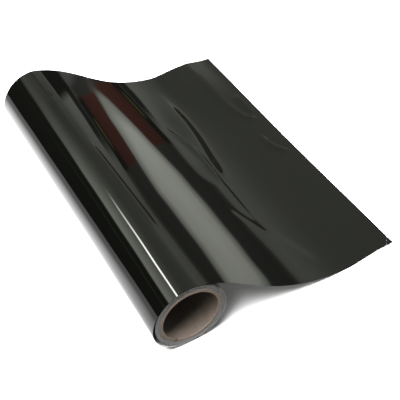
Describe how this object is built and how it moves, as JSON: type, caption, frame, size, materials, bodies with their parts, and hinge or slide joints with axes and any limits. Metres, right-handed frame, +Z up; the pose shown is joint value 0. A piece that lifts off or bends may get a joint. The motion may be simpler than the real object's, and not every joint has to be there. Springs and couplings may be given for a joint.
{
  "type": "roll of sign vinyl",
  "caption": "Wide roll of gloss self-adhesive film on a cardboard core, with the web drawn off over the top, draped to the floor and laid flat.",
  "frame": {"origin": "on the floor, under the middle of the whole object", "axes": "+Y along the roll's axis, +X the way the web is drawn off, +Z up"},
  "size_m": [0.3628, 0.508, 0.0993],
  "materials": {
    "vinyl_film": "high gloss black cast vinyl",
    "liner_paper": "smooth coated kraft release paper",
    "cardboard": "spirally wound grey-brown board",
    "tape": "cream paper tape"
  },
  "bodies": {
    "drape": {"wrap_liner": "liner_paper", "wrap_film": "vinyl_film", "drape_liner": "liner_paper", "drape_film": "vinyl_film"},
    "roll": {"core_tube": "cardboard", "start_tape": "tape", "wound_liner": "liner_paper", "wound_film": "vinyl_film"},
    "free_end": {"flat_liner": "liner_paper", "flat_film": "vinyl_film"},
    "corner": {"film_corner": "vinyl_film"}
  },
  "joints": [
    {"name": "roll_spin", "type": "hinge", "parent": "drape", "child": "roll", "pos_m": [-0.12958, 0, 0.04965], "axis": [0, 1, 0], "range_deg": [0, 180]},
    {"name": "web_draw", "type": "slide", "parent": "drape", "child": "free_end", "axis": [1, 0, 0], "range_m": [0, 0.155]},
    {"name": "corner_peel", "type": "hinge", "parent": "free_end", "child": "corner", "pos_m": [0.16942, -0.254, 0.00095], "axis": [-0.7071, -0.7071, 0], "range_deg": [0, 150]}
  ],
  "couplings": [
    {"joint": "web_draw", "follows": "roll_spin", "m_per_rad": 0.0492}
  ]
}
